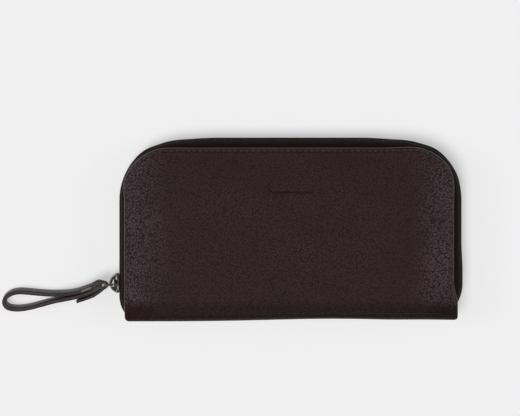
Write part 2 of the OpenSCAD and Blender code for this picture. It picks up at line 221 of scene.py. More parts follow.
def leather_graph(name, dark, light, grain_mm=0.95, depth_mm=0.11, roughness=0.5, specular=0.35,
                  on_uv=False):
    """Pebbled leather: rounded grains with creases between them, and slow changes of tone.

    With on_uv the grain follows the sheet, whose UV holds X and the way round the fold; the leather's grain
    is then deeper near its two ends, where its colour is painted paler as a painted sheen, and its colour
    is painted darker as a painted shade where it rolls over into the spine.
    """
    g = Graph(name)
    if on_uv:
        place = g.add("VectorMath", {"operation": "SCALE"}, _0=g.add("TexCoord").outputs["UV"])
        place.inputs["Scale"].default_value = MM
        place = place.outputs[0]
    else:
        place = g.position()
    wander = g.add("TexNoise", Vector=place, Scale=0.7 / MM, Detail=2.0).outputs[1]
    shifted = g.add("VectorMath", {"operation": "MULTIPLY_ADD"}, _0=wander,
                    _1=(0.0005, 0.0005, 0.0005), _2=place)
    grains = g.add("TexVoronoi", {"feature": "SMOOTH_F1"}, Vector=shifted, Scale=1 / (grain_mm * MM),
                   Smoothness=0.35)
    creases = g.add("TexVoronoi", {"feature": "DISTANCE_TO_EDGE"}, Vector=shifted,
                    Scale=1 / (grain_mm * MM))
    crease = g.ramp(creases.outputs["Distance"], 0.0, 0.16)
    dome = g.ramp(grains.outputs["Distance"], 0.75, 0.1)
    height = g.math("MULTIPLY_ADD", dome, 0.6)
    g.put(height, 2, g.math("MULTIPLY", crease, 0.4))
    fine = g.noise(place, 5.0, 3.0, 0.6)
    slow = g.noise(place, 0.035, 3.0, 0.55)
    pore = g.math("MULTIPLY_ADD", fine, 0.22)
    g.put(pore, 2, height)
    bump = g.bump(pore, depth_mm)
    tone = g.math("MULTIPLY", height, g.ramp(slow, 0.25, 0.75, 0.55, 1.0), clamp=True)
    colour = g.mix(tone, dark, light)
    if on_uv:
        parts = g.add("SeparateXYZ", Vector=place)
        ends = g.ramp(g.math("ABSOLUTE", parts.outputs[0]), 0.064, 0.092)
        fold = g.ramp(parts.outputs[1], -0.0345, -0.042)
        # painted sheen: the colour turns paler towards the two ends
        painted_end_sheen = g.mix(tone, rgb(32, 20, 22), rgb(108, 91, 97))
        # painted shade: the colour turns darker where the leather rolls over into the spine
        painted_fold_shade = g.mix(tone, rgb(24, 10, 11), rgb(46, 26, 27))
        colour = g.mix(fold, g.mix(ends, colour, painted_end_sheen), painted_fold_shade)
        g.put(bump, "Strength", g.ramp(ends, 0.0, 1.0, 0.37, 1.0))
    g.set(Base_Color=colour, Normal=bump,
          Roughness=g.ramp(height, 0.0, 1.0, roughness + 0.12, roughness - 0.04))
    g.set(IOR=1.45, Specular_IOR_Level=specular)
    return g


def leather(*looks, **more_looks):
    """The finished material of a leather_graph."""
    return leather_graph(*looks, **more_looks).material


def strap_leather():
    """The strap's smooth leather, with a painted highlight: a pale patch across its upper leg just behind
    the fold.
    """
    g = leather_graph("strap_leather", rgb(44, 33, 36), rgb(84, 68, 73), 0.7, 0.06, 0.45)
    # the painted highlight's patch: between left and right in X, on the upper leg only
    left, right, leg_y, soft = -115.5 * MM, -109.2 * MM, -28.8 * MM, 0.7 * MM
    leg_slope = 0.382
    parts = g.add("SeparateXYZ", Vector=g.position())
    x, y = parts.outputs[0], parts.outputs[1]
    start, end = g.ramp(x, left, left + soft), g.ramp(x, right, right - soft)
    past_leg = g.math("MULTIPLY_ADD", g.math("ADD", x, -right), -leg_slope)
    g.put(past_leg, 2, g.math("ADD", y, -leg_y))
    upper = g.ramp(past_leg, -1.6 * MM, -1.2 * MM)
    mask = g.math("MULTIPLY", g.math("MULTIPLY", start, end), upper)
    plain = g.shader.inputs["Base Color"].links[0].from_socket
    # painted highlight: a pale grey-tan mixed into the base colour over that patch
    g.set(Base_Color=g.mix(g.math("MULTIPLY", mask, 0.85), plain, rgb(128, 119, 111)))
    return g.material


def edge_paint():
    """Thick edge paint, slightly uneven and glossier than the leather."""
    g = Graph("edge_paint")
    lumps = g.noise(g.position(), 0.6, 3.0)
    g.surface(lumps, rgb(58, 42, 42), rgb(92, 74, 70), 0.08, (0.34, 0.5), (0.2, 0.8))
    return g.material


def thread(name, dark, light):
    """Bonded thread: its twist is fine slanted ridges along the stitch."""
    g = Graph(name)
    uv = g.add("TexCoord").outputs["UV"]
    twist = g.add("TexWave", {"bands_direction": "DIAGONAL"}, Vector=uv, Scale=9.0, Distortion=0.4)
    g.surface(twist.outputs[1], dark, light, 0.05, (0.62, 0.48))
    return g.material


def woven_tape(name, dark, light):
    """Herringbone zip tape. U runs along the tape and V across it, both in millimetres."""
    g = Graph(name)
    uv = g.add("TexCoord").outputs["UV"]
    parts = g.add("SeparateXYZ", Vector=uv)
    along, across = parts.outputs[0], parts.outputs[1]
    fold = g.math("PINGPONG", across, 1.1)
    slant = g.math("ADD", along, fold)
    warp = g.math("ABSOLUTE", g.math("SINE", g.math("MULTIPLY", across, 7.9)))
    weft = g.math("ABSOLUTE", g.math("SINE", g.math("MULTIPLY", slant, 5.2)))
    height = g.math("MULTIPLY", warp, weft)
    fuzz = g.noise(g.position(), 3.5, 3.0, 0.7)
    level = g.math("MULTIPLY_ADD", fuzz, 0.35)
    g.put(level, 2, height)
    g.set(Base_Color=g.mix(g.math("MULTIPLY", level, 0.8, clamp=True), dark, light),
          Normal=g.bump(level, 0.14), Roughness=g.ramp(level, 0.0, 1.0, 0.95, 0.78))
    g.set(Specular_IOR_Level=0.12, Sheen_Weight=0.03, Sheen_Roughness=0.5)
    return g.material


def nylon():
    """Coil nylon, a little worn and dusty between the turns."""
    g = Graph("nylon_coil")
    cloud = g.noise(g.position(), 0.9, 3.0)
    g.surface(cloud, rgb(20, 9, 9), rgb(40, 24, 22), 0.03, (0.42, 0.56), (0.2, 0.8))
    g.set(Specular_IOR_Level=0.25)
    return g.material


def metal(name, dark, light, roughness):
    """Plated metal, with fine scratches and a patina that gathers in patches."""
    g = Graph(name)
    place = g.position()
    patina = g.noise(place, 0.35, 4.0, 0.65)
    stretched = g.add("VectorMath", {"operation": "MULTIPLY"}, _0=place, _1=(9.0, 1.0, 1.0))
    scratches = g.noise(stretched.outputs[0], 1.6, 2.0, 0.8)
    mask = g.ramp(patina, 0.35, 0.65)
    g.set(Base_Color=g.mix(mask, dark, light), Normal=g.bump(scratches, 0.02),
          Roughness=g.ramp(patina, 0.3, 0.7, roughness + 0.16, roughness))
    g.set(Metallic=1.0)
    return g.material


def lining_cloth():
    """Fine twill, in the plane of whatever panel it covers."""
    g = Graph("lining_twill")
    place = g.position()
    scaled = g.add("VectorMath", {"operation": "SCALE"}, _0=place)
    scaled.inputs["Scale"].default_value = 1 / MM
    parts = g.add("SeparateXYZ", Vector=scaled.outputs[0])
    slant = g.math("ADD", parts.outputs[0], parts.outputs[1])
    rib = g.math("ABSOLUTE", g.math("SINE", g.math("MULTIPLY", slant, 5.5)))
    cross = g.math("ABSOLUTE", g.math("SINE", g.math("MULTIPLY", parts.outputs[0], 11.0)))
    height = g.math("MULTIPLY_ADD", rib, 0.7)
    g.put(height, 2, g.math("MULTIPLY", cross, 0.3))
    slow = g.noise(place, 0.05, 2.0)
    tone = g.math("MULTIPLY", height, g.ramp(slow, 0.2, 0.8, 0.6, 1.0), clamp=True)
    g.set(Base_Color=g.mix(tone, rgb(48, 33, 31), rgb(92, 66, 60)), Normal=g.bump(height, 0.08),
          Roughness=g.ramp(height, 0.0, 1.0, 0.9, 0.7))
    g.set(Specular_IOR_Level=0.25, Sheen_Weight=0.2)
    return g.material


def board_material():
    """Pressed fibre board."""
    g = Graph("fibre_board")
    fibres = g.noise(g.position(), 1.4, 5.0, 0.75)
    g.surface(fibres, rgb(120, 104, 88), rgb(170, 152, 130), 0.1, (0.95, 0.8))
    return g.material


def floor_material():
    """White studio paper that lights the wallet's sides softly from below."""
    g = Graph("studio_paper")
    glow = g.add("Emission", Color=(1.0, 1.0, 1.0, 1), Strength=0.45)
    fibres = g.noise(g.position(), 0.02, 2.0)
    paper = g.add("BsdfDiffuse", Color=g.mix(fibres, (0.66, 0.66, 0.66, 1), (0.67, 0.67, 0.67, 1)))
    both = g.add("AddShader", _0=glow, _1=paper)
    g.put(g.output, "Surface", both)
    return g.material


# ---- Mesh helpers ----

def add_mesh(name, verts, faces, materials, uvs=None, face_materials=None, smooth=True):
    """A mesh object from millimetres. uvs holds one (u, v) for each vertex."""
    mesh = bpy.data.meshes.new(name)
    mesh.from_pydata((np.asarray(verts, float) * MM).tolist(), [], [tuple(f) for f in faces])
    mesh.polygons.foreach_set("use_smooth", [smooth] * len(mesh.polygons))
    for material in materials:
        mesh.materials.append(material)
    if face_materials is not None:
        mesh.polygons.foreach_set("material_index", np.asarray(face_materials, np.int32))
    if uvs is not None:
        layer = mesh.uv_layers.new(name="along_across")
        corner_verts = np.zeros(len(mesh.loops), np.int32)
        mesh.loops.foreach_get("vertex_index", corner_verts)
        layer.data.foreach_set("uv", np.asarray(uvs, np.float32)[corner_verts].ravel())
    mesh.update()
    piece = bpy.data.objects.new(name, mesh)
    bpy.context.scene.collection.objects.link(piece)
    return piece


def grid_faces(rows, cols, loop_rows=False, loop_cols=False, start=0):
    """Quads of a grid whose vertex (r, c) is start + r * cols + c."""
    faces = []
    for r in range(rows if loop_rows else rows - 1):
        for c in range(cols if loop_cols else cols - 1):
            r2, c2 = (r + 1) % rows, (c + 1) % cols
            faces.append((start + r * cols + c, start + r * cols + c2,
                          start + r2 * cols + c2, start + r2 * cols + c))
    return faces


def capped_faces(rows, cols):
    """Faces of a tube of rows rings, with a flat face at either end."""
    last = (rows - 1) * cols
    ends = [tuple(range(cols - 1, -1, -1)), tuple(range(last, last + cols))]
    return grid_faces(rows, cols, loop_cols=True) + ends


def sheet(name, points, material, uvs=None):
    """A piece from a grid of points, with a grid of UVs where its material needs them."""
    if uvs is not None:
        uvs = uvs.reshape(-1, 2)
    return add_mesh(name, points.reshape(-1, 3), grid_faces(*points.shape[:2]), [material], uvs)


def thicken(piece, thick, offset=0):
    """Gives a sheet its thickness: to both sides alike, or all of it inwards where offset is -1."""
    solid = piece.modifiers.new("thickness", "SOLIDIFY")
    solid.thickness = thick * MM
    solid.offset = offset
    return solid


def shade_flat_ends(piece, angle=40):
    """Keeps sharp creases between faces that meet steeply."""
    bpy.context.view_layer.objects.active = piece
    piece.select_set(True)
    bpy.ops.object.shade_smooth_by_angle(angle=math.radians(angle))
    piece.select_set(False)


def attach(piece, body, node=None, creased=False):
    """Ties a piece to its body, and to the CAD node that it stands for."""
    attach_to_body(piece, body)
    if node:
        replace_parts(piece, node)
    if creased:
        shade_flat_ends(piece)


class Build:
    """Gathers parts into one mesh."""

    def __init__(self):
        self.verts, self.faces, self.uvs, self.slots = [], [], [], []

    def add(self, verts, faces, uvs=None, slot=0):
        start = len(self.verts)
        self.verts.extend(np.asarray(verts, float).tolist())
        self.faces.extend([tuple(start + i for i in f) for f in faces])
        self.uvs.extend(np.zeros((len(verts), 2)).tolist() if uvs is None else np.asarray(uvs).tolist())
        self.slots.extend([slot] * len(faces))

    def piece(self, name, materials):
        return add_mesh(name, self.verts, self.faces, materials, self.uvs, self.slots)


def running(steps):
    """Distances from the start, from the lengths of the steps."""
    return np.concatenate([[0], np.cumsum(steps)])


def unit(v):
    return v / np.maximum(np.linalg.norm(v, axis=-1, keepdims=True), 1e-9)


def tube(path, radius, sides=8, side_hint=(0, 0, 1), closed=False):
    """Vertices, faces and UVs of a round tube along a path. side_hint sets where its seam lies."""
    path = np.asarray(path, float)
    count = len(path)
    if closed:
        tangent = unit(np.roll(path, -1, 0) - np.roll(path, 1, 0))
    else:
        tangent = unit(np.gradient(path, axis=0))
    hint = np.broadcast_to(np.asarray(side_hint, float), path.shape)
    u = unit(hint - (hint * tangent).sum(1, keepdims=True) * tangent)
    v = np.cross(tangent, u)
    turn = np.arange(sides) * 2 * math.pi / sides
    radii = np.broadcast_to(np.asarray(radius, float), (count,))[:, None, None]
    ring = np.cos(turn)[None, :, None] * u[:, None] + np.sin(turn)[None, :, None] * v[:, None]
    verts = (path[:, None] + radii * ring).reshape(-1, 3)
    if closed:
        faces = grid_faces(count, sides, loop_rows=True, loop_cols=True)
    else:
        faces = capped_faces(count, sides)
    run = running(np.linalg.norm(np.diff(path, axis=0), axis=1))
    uvs = np.stack([np.repeat(run, sides), np.tile(np.arange(sides) / sides, count)], 1)
    return verts, faces, uvs


def smoothstep(v, low=0.0, high=1.0):
    t = np.clip((np.asarray(v, float) - low) / (high - low), 0, 1)
    return t * t * (3 - 2 * t)


class Line:
    """A plan line of straights and arcs. Each piece is (length, left turn in degrees)."""

    def __init__(self, start, pieces):
        self.pieces = pieces
        self.starts = [start]
        for length, turn in pieces:
            self.starts.append(self.advance(self.starts[-1], length, turn, length))
        self.marks = running([length for length, turn in pieces])
        self.length = self.marks[-1]

    @staticmethod
    def advance(pose, length, turn, s):
        x, y, heading = pose
        h = math.radians(heading)
        if turn == 0:
            return (x + s * math.cos(h), y + s * math.sin(h), heading)
        r = length / math.radians(turn)
        h2 = h + math.radians(turn) * s / length
        x, y = x + r * (math.sin(h2) - math.sin(h)), y - r * (math.cos(h2) - math.cos(h))
        return (x, y, math.degrees(h2))

    def at(self, s):
        """Point, heading and outward side (to the left of the heading) at distances s."""
        points, headings = [], []
        for value in np.atleast_1d(s):
            i = int(np.clip(np.searchsorted(self.marks, value, side="right") - 1, 0, len(self.pieces) - 1))
            length, turn = self.pieces[i]
            x, y, heading = self.advance(self.starts[i], length, turn, value - self.marks[i])
            points.append((x, y))
            headings.append(math.radians(heading))
        points, headings = np.array(points), np.array(headings)
        ahead = np.stack([np.cos(headings), np.sin(headings)], 1)
        out = np.stack([-np.sin(headings), np.cos(headings)], 1)
        return points, ahead, out


def arc(r, degrees):
    return (r * math.radians(degrees), -degrees)


def zip_line():
    low_left = (ZIP_LEFT + LEFT_BEND_R * (1 - math.cos(math.radians(LEFT_BEND_DEG))),
                LEFT_BEND_Y - LEFT_BEND_R * math.sin(math.radians(LEFT_BEND_DEG)), 90 + LEFT_BEND_DEG)
    return Line(low_left, [
        arc(LEFT_BEND_R, LEFT_BEND_DEG),
        (ZIP_TOP - ZIP_CORNER_R - LEFT_BEND_Y, 0),
        arc(ZIP_CORNER_R, 90),
        (ZIP_RIGHT - ZIP_LEFT - 2 * ZIP_CORNER_R, 0),
        arc(ZIP_CORNER_R, 90),
        (ZIP_TOP - ZIP_CORNER_R - RIGHT_BEND_Y, 0),
        arc(RIGHT_BEND_R, RIGHT_BEND_DEG),
    ])


ZIP = zip_line()
ZIP_END_LOW = ZIP.starts[-1][1]


def cover_line(inset, low_left, low_right):
    """The covers' open edge, inset, from the left end near the spine round to the right end."""
    return Line((-EDGE_X + inset, low_left, 90), [
        (LEFT_BEND_Y - low_left, 0),
        (Y_TOP - CORNER_R - LEFT_BEND_Y, 0),
        arc(CORNER_R - inset, 90),
        (2 * (EDGE_X - CORNER_R), 0),
        arc(CORNER_R - inset, 90),
        (Y_TOP - CORNER_R - RIGHT_BEND_Y, 0),
        (RIGHT_BEND_Y - low_right, 0),
    ])


def drawn_in(x, y):
    """A cover's plan points as its leather lies: its ends draw in, and its top edge sags a little."""
    left = 0.3 + 1.3 * smoothstep(-y, -32, -18) + 0.3 * smoothstep(-y, 34, 47)
    right = 2.3 * smoothstep(-y, -40, -19) - 2.1 * smoothstep(-y, 26, 39)
    pull = np.where(x < 0, left, right)
    sag = 0.5 * smoothstep(y, 20, Y_TOP) * (1 - smoothstep(x, 50, 68))
    return x - np.sign(x) * pull * smoothstep(np.abs(x), 40, EDGE_X), y - sag


def settled(points):
    """Points of the zip's line as its tape lets it lie: lower near the corners, closer at the right end."""
    x, y = points.T
    across = np.abs(x)
    sag = 0.3 + 1.2 * smoothstep(across, 40, 66) - 1.5 * smoothstep(across, 70, 84)
    right = 0.6 * smoothstep(y, -20, -4) * (1 - smoothstep(y, 22, 34)) * smoothstep(x, 80, 92)
    return np.column_stack([x - right, y - sag * smoothstep(y, 38, 50)])


EDGE = cover_line(0.0, ZIP.starts[0][1], ZIP_END_LOW)
SEAM = cover_line(STITCH_INSET, STITCH_LOW, STITCH_LOW)


# ---- Outer leather ----

FOLD_R = 5.0
BAR_CENTRE = np.array([0.8, 25.7])
BAR_HALF = np.array([12.7, 2.75])
SPINE_CORNER_R = 2.4
GROOVE = 0.2
SWELL = {1: (0.55, 1.0), -1: (0.0, 0.0)}   # a half's crown and the droop of its ends
EDGE_STEPS = np.array([
    0, 0.12, 0.3, 0.5, 0.75, 1.0, 1.2, 1.4, 1.6, 1.8, 2.0, 2.2, 2.45, 2.8, 3.4, 4.2, 5.2, 6.6,
    8.6, 10.2, 12, 14, 16, 18, 19, *[19.3 + 0.3 * k for k in range(20)], 25.6, CORNER_R,
])


def bar_press(x, y):
    """Depth of the blank rounded bar pressed into the front cover."""
    q = np.abs(np.stack([x, y], -1) - BAR_CENTRE) - (BAR_HALF - BAR_HALF[1])
    distance = np.linalg.norm(np.maximum(q, 0), axis=-1) - BAR_HALF[1]
    inner_rim = 0.14 * np.exp(-((distance + 0.75) / 0.22) ** 2)
    return 0.34 * smoothstep(-distance, -0.35, 0.35) + inner_rim


def cover_rise(x, y, d, side):
    """Height of a cover's outer face above its flat plane, at distance d from its open edge."""
    crown, droop = SWELL[side]
    end = EDGE_X - np.abs(x)
    rise = crown * (1 - (np.abs(x) / EDGE_X) ** 3) * smoothstep(d, 0, 30)
    rise = rise - droop * np.exp(-(end / 11) ** 2)
    rise = rise - 0.35 * droop * np.exp(-((Y_TOP - y) / 7) ** 2)
    roll = 0.95
    near = np.clip(roll - d, 0, roll)
    rise = rise - (roll - np.sqrt(np.maximum(roll ** 2 - near ** 2, 0)))
    groove = np.exp(-((d - STITCH_INSET) / 0.55) ** 2) * smoothstep(y, STITCH_LOW - 2.5, STITCH_LOW)
    rise = rise - GROOVE * groove
    pillow = np.exp(-((d - 0.9) / 0.45) ** 2) + np.exp(-((d - 3.1) / 0.9) ** 2)
    return rise + 0.09 * pillow * smoothstep(y, STITCH_LOW - 3, STITCH_LOW)


def spine_wave(x):
    """How far the spine's face is drawn in at x, a gentle wave along its length."""
    return 1.45 * np.exp(-((x - 24) / 48) ** 2) + 0.6 * smoothstep(x, 50, 80)


def half_width(y):
    """Where a cover's end lies at y, before it draws in. It rounds off at the spine's two corners."""
    into = np.clip(Y_LOW + SPINE_CORNER_R - np.asarray(y, float), 0, SPINE_CORNER_R)
    return EDGE_X - (SPINE_CORNER_R - np.sqrt(SPINE_CORNER_R ** 2 - into ** 2))


def leather_wobble(x, y):
    """The slight waves of the front cover's leather."""
    heights = [noise.noise(Vector((a / 34, b / 30, 3.1))) * 0.22
               + noise.noise(Vector((a / 13, b / 12, 8.2))) * 0.06
               for a, b in zip(x.ravel(), y.ravel())]
    return np.array(heights).reshape(x.shape)


def cover_columns():
    """X of the middle block's columns, close together round the pressed bar's two round ends."""
    core_x = EDGE_X - CORNER_R
    left, right = BAR_CENTRE[0] - BAR_HALF[0], BAR_CENTRE[0] + BAR_HALF[0]
    before, past, fine = 1.2, 3.6, 0.3
    return np.unique(np.concatenate([
        np.linspace(-core_x, left - before, 34),
        np.arange(left - before, left + past, fine),
        np.linspace(left + past, right - past, 16),
        np.arange(right - past, right + before, fine),
        np.linspace(right + before, core_x, 34),
    ]).round(4))


def shell(half, side):
    """The outer leather of one half, from its open edge to the middle of the spine.

    side is 1 for the front (upper) half and -1 for the back half. Both are built facing up.
    """
    front = side > 0
    core_x = EDGE_X - CORNER_R
    columns = cover_columns()
    low_y = Y_LOW + FOLD_R
    build = Build()

    def place(x, y, d, section="cover", s=0.0):
        """X, Y, Z, U and V for plan points. s is the angle on the fold and the height on the spine."""
        x, y, d, s = np.broadcast_arrays(x, y, d, s)
        rise = cover_rise(x, np.maximum(y, low_y), d, side)
        if front:
            rise = rise + leather_wobble(x, y) * smoothstep(d, 1.5, 8) - bar_press(x, y)
        if section == "cover":
            return np.stack([x, y, TOTAL_T + rise, x, y], -1)
        wave = spine_wave(x)
        if section == "fold":
            run = low_y - FOLD_R * s
            z = TOTAL_T - FOLD_R + FOLD_R * np.cos(s) + rise * np.cos(s)
            return np.stack([x, low_y - FOLD_R * np.sin(s) + wave * np.sin(s) ** 2, z, x, run], -1)
        run = low_y - FOLD_R * math.pi / 2 - (TOTAL_T - FOLD_R - s)
        return np.stack([x, Y_LOW + wave, s, x, run], -1)

    def strip_x(y, sign):
        """Columns of one end strip, from the end inwards, at each y."""
        reach = half_width(y) - core_x
        return sign * (core_x + reach[:, None] * (1 - EDGE_STEPS[None, :] / CORNER_R))

    def add_patch(grid):
        build.add(grid[..., :3].reshape(-1, 3), grid_faces(*grid.shape[:2]), grid[..., 3:].reshape(-1, 2))

    turn = np.radians(np.linspace(90, 0, 13))
    spine_z = np.linspace(MID_Z, TOTAL_T - FOLD_R, 7)[:-1]
    cover_y = np.linspace(low_y, Y_TOP - CORNER_R, 46)[1:]
    sections = [("spine", np.full(len(spine_z), Y_LOW), spine_z),
                ("fold", low_y - FOLD_R * np.sin(turn), turn),
                ("cover", cover_y, np.zeros(len(cover_y)))]
    for sign in (-1, 0, 1):
        rows = []
        for section, y, s in sections:
            if sign:
                x, d = strip_x(y, sign), EDGE_STEPS
            else:
                x, d = columns, CORNER_R
            rows.append(place(x, y[:, None], d, section, s[:, None]))
        add_patch(np.concatenate(rows))
    # strip along the top edge
    add_patch(place(columns, (Y_TOP - EDGE_STEPS)[:, None], EDGE_STEPS[:, None]))
    # the two round corners
    angle = np.radians(np.linspace(0, 90, 31))
    radius = (CORNER_R - EDGE_STEPS)[:-1, None]
    for sign in (-1, 1):
        corner = place(sign * (core_x + radius * np.cos(angle)), Y_TOP - CORNER_R + radius * np.sin(angle),
                       EDGE_STEPS[:-1, None])
        centre = place(np.array([[sign * core_x]]), Y_TOP - CORNER_R, CORNER_R)
        rows, cols = corner.shape[:2]
        points = np.concatenate([corner.reshape(-1, 5), centre.reshape(-1, 5)])
        fan = [((rows - 1) * cols + c, (rows - 1) * cols + c + 1, rows * cols) for c in range(cols - 1)]
        build.add(points[:, :3], grid_faces(rows, cols) + fan, points[:, 3:])

    verts = np.array(build.verts)
    if not front:
        verts[:, 2] = TOTAL_T - verts[:, 2]
    piece = add_mesh(half + "_outer_leather", verts, build.faces, [LEATHER, EDGE_PAINT], uvs=build.uvs)
    weld(piece, outward=(0, 0, side))
    paint_rim(piece)
    draw_in(piece)
    thicken(piece, LEATHER_T, -1).material_offset_rim = 1
    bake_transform(piece)
    return piece


def draw_in(piece):
    """Moves the vertices of a finished cover from its ideal plan to the plan it lies in."""
    places = np.zeros(3 * len(piece.data.vertices))
    piece.data.vertices.foreach_get("co", places)
    places = places.reshape(-1, 3)
    x, y = drawn_in(places[:, 0] / MM, places[:, 1] / MM)
    places[:, 0], places[:, 1] = x * MM, y * MM
    piece.data.vertices.foreach_set("co", places.ravel())


def weld(piece, outward):
    """Joins the patches of a mesh where they meet and turns its faces outwards."""
    work = bmesh.new()
    work.from_mesh(piece.data)
    bmesh.ops.remove_doubles(work, verts=work.verts, dist=0.004 * MM)
    bmesh.ops.recalc_face_normals(work, faces=work.faces)
    total = sum((f.normal * f.calc_area() for f in work.faces), Vector())
    if total.dot(Vector(outward)) < 0:
        bmesh.ops.reverse_faces(work, faces=work.faces)
    for f in work.faces:
        f.smooth = True
    work.to_mesh(piece.data)
    work.free()


def paint_rim(piece):
    """Gives the outermost faces of an open edge the edge paint."""
    mesh = piece.data
    for polygon in mesh.polygons:
        x, y = polygon.center[0] / MM, polygon.center[1] / MM
        corner = np.hypot(max(abs(x) - (EDGE_X - CORNER_R), 0), max(y - (Y_TOP - CORNER_R), 0))
        if y > Y_TOP - CORNER_R:
            d = CORNER_R - corner
        else:
            d = half_width(y) - abs(x)
        if d < 0.5:
            polygon.material_index = 1


# ---- Stitches ----

def needle_holes(build, points, ahead, out, up, radius):
    """Adds a small dark mouth at each point, a low dimple whose rim lies on the leather; its near-black
    colour is painted shade inside the hole.
    """
    sides, rings = 10, 3
    turn = np.arange(sides) * 2 * math.pi / sides
    last, middle = (rings - 1) * sides, rings * sides
    fan = [(last + i, last + (i + 1) % sides, middle) for i in range(sides)]
    faces = grid_faces(rings, sides, loop_cols=True) + fan
    for p, a, o, u in zip(points, ahead, out, up):
        rim = radius * (np.outer(np.cos(turn), a) + 1.15 * np.outer(np.sin(turn), o))
        verts = np.vstack([p + rim - 0.12 * u, p + 0.8 * rim + 0.04 * u, p + 0.4 * rim, p - 0.03 * u])
        build.add(verts, faces, slot=1)


def stitch_row(build, points, ahead, up, length, thick, height):
    """Adds one stitch at each point: a short thread that dives into the surface at both ends."""
    t = np.linspace(-1, 1, 9)
    for p, a, u in zip(points, ahead, up):
        arch = height * (1 - np.abs(t) ** 3.2) - 1.3 * thick * smoothstep(np.abs(t), 0.82, 1.0)
        path = p + np.outer(t * length / 2, a) + np.outer(arch, u)
        radius = thick / 2 * (1 - 0.25 * np.abs(t) ** 4)
        build.add(*tube(path, radius, 7, side_hint=u))


def cover_stitching(half, side):
    """The seam round a cover's open edge: stitches, the needle's holes and a locked end each way."""
    first = 1.25
    count = int((SEAM.length - 2 * first) // STITCH_PITCH) + 1
    points, ahead, out = SEAM.at(first + STITCH_PITCH * np.arange(count))
    x, y = points.T
    rise = cover_rise(x, y, np.full(len(x), STITCH_INSET), side)
    z = TOTAL_T + rise if side > 0 else -rise
    flat = np.zeros((len(x), 1))
    places = np.column_stack([*drawn_in(x, y), z])
    along = np.hstack([ahead, flat])
    up = np.tile([0, 0, side], (len(x), 1)).astype(float)
    build = Build()
    stitch_row(build, places, along, up, length=2.1, thick=0.5, height=0.2)
    across = np.hstack([out, flat])
    middles = (places[1:] + places[:-1]) / 2 + up[1:] * 0.1
    needle_holes(build, middles, along[1:], across[1:], up[1:], radius=0.56)
    # doubled stitches lock the seam at both ends
    for end in (slice(0, 3), slice(-3, None)):
        shifted = places[end] + across[end] * 0.45 + along[end] * 0.9
        stitch_row(build, shifted, along[end], up[end], length=2.45, thick=0.5, height=0.12)
    piece = build.piece(half + "_stitching_thread", [THREAD, PAINTED_HOLE_SHADE])
    attach(piece, half + "_cover", half + "_stitching")


# ---- Zip ----

COIL_PITCH = 1.25
COIL_WIRE = 0.56
COIL_REACH = 0.45          # how far each row reaches past the middle
COIL_WIDTH = 2.6
TAPE_T = 0.55


def tape_stations():
    """Matching points of the covers' edge and the zip's line, with the run along the zip."""
    edge_points, zip_points, edge_out, zip_out, run = [], [], [], [], []
    for i, (length, _) in enumerate(ZIP.pieces):
        steps = max(10, int(length / 2.2))
        fraction = np.arange(steps) / steps
        if i == len(ZIP.pieces) - 1:
            fraction = np.append(fraction, 1.0)
        s_zip = ZIP.marks[i] + fraction * length
        s_edge = EDGE.marks[i] + fraction * EDGE.pieces[i][0]
        p, _, out = ZIP.at(np.minimum(s_zip, ZIP.length - 1e-6))
        q, _, out_q = EDGE.at(np.minimum(s_edge, EDGE.length - 1e-6))
        zip_points.append(settled(p))
        zip_out.append(out)
        edge_points.append(np.column_stack(drawn_in(*q.T)))
        edge_out.append(out_q)
        run.append(s_zip)
    return [np.concatenate(part) for part in (edge_points, edge_out, zip_points, zip_out, run)]


def zip_tape(half, side):
    """One tape: sewn in under its cover's edge, then out and round to stand behind the coil."""
    q, q_out, p, p_out, run = tape_stations()
    under = 2.45 if side > 0 else 1.55            # depth of the sewn part below the cover's plane
    z_top = TOTAL_T - under
    z_coil = MID_Z - 0.35
    z_turned = MID_Z + 3.2
    start, end = q - 0.5 * q_out, p - 0.35 * p_out
    columns = [(q - 5.5 * q_out, z_top), (q - 2.6 * q_out, z_top), (q - 1.1 * q_out, z_top + 0.1)]
    for f in np.linspace(0, math.pi / 2, 15):
        lean = math.sin(f) ** 0.85
        fall = 1 - math.cos(f) ** 1.15
        columns.append((start + (end - start) * lean, z_top + (z_turned - z_top) * fall))
    columns += [(end, z) for z in (MID_Z + 1.6, z_coil + 0.9, z_coil)]
    verts = np.stack([np.column_stack([plan, np.full(len(q), z)]) for plan, z in columns], 1)
    steps = np.linalg.norm(np.diff(verts, axis=1), axis=2)
    across = np.column_stack([np.zeros(len(q)), np.cumsum(steps, axis=1)])
    uvs = np.stack([np.broadcast_to(run[:, None], across.shape), across], -1)
    if side < 0:
        verts[:, :, 2] = TOTAL_T - verts[:, :, 2]
    piece = sheet(half + "_zip_tape_woven", verts, TAPE, uvs)
    thicken(piece, TAPE_T)
    attach(piece, half + "_cover", half + "_zip_tape")


def coil_row(build, line, s_from, s_to, side, width, depth, wire, reach, lift=0.0):
    """A helix of nylon along a plan line, on one side of the zip's middle.

    The turns' heads pass the middle by reach, between the other row's heads.
    """
    turns = int((s_to - s_from) / COIL_PITCH)
    steps = 12
    k = np.arange(turns * steps + 1)
    angle = k * 2 * math.pi / steps
    first = s_from + (COIL_PITCH / 2 if side > 0 else 0)
    p, _, out = line(np.minimum(first + COIL_PITCH * k / steps, s_to))
    c, w = np.cos(angle), np.sin(angle)
    flat = np.sign(c) * np.abs(c) ** 0.75
    tall = np.sign(w) * np.abs(w) ** 0.8
    centre = width / 2 - reach
    z = MID_Z + side * (centre + width / 2 * flat)
    path = p + out * (lift + depth / 2 * tall)[:, None] + np.outer(z, (0, 0, 1))
    hint = out * tall[:, None] + np.outer(side * flat, (0, 0, 1))
    build.add(*tube(path, wire / 2, 6, side_hint=hint))


def zip_plan(s):
    p, ahead, out = ZIP.at(s)
    zero = np.zeros((len(p), 1))
    return np.hstack([settled(p), zero]), np.hstack([ahead, zero]), np.hstack([out, zero])


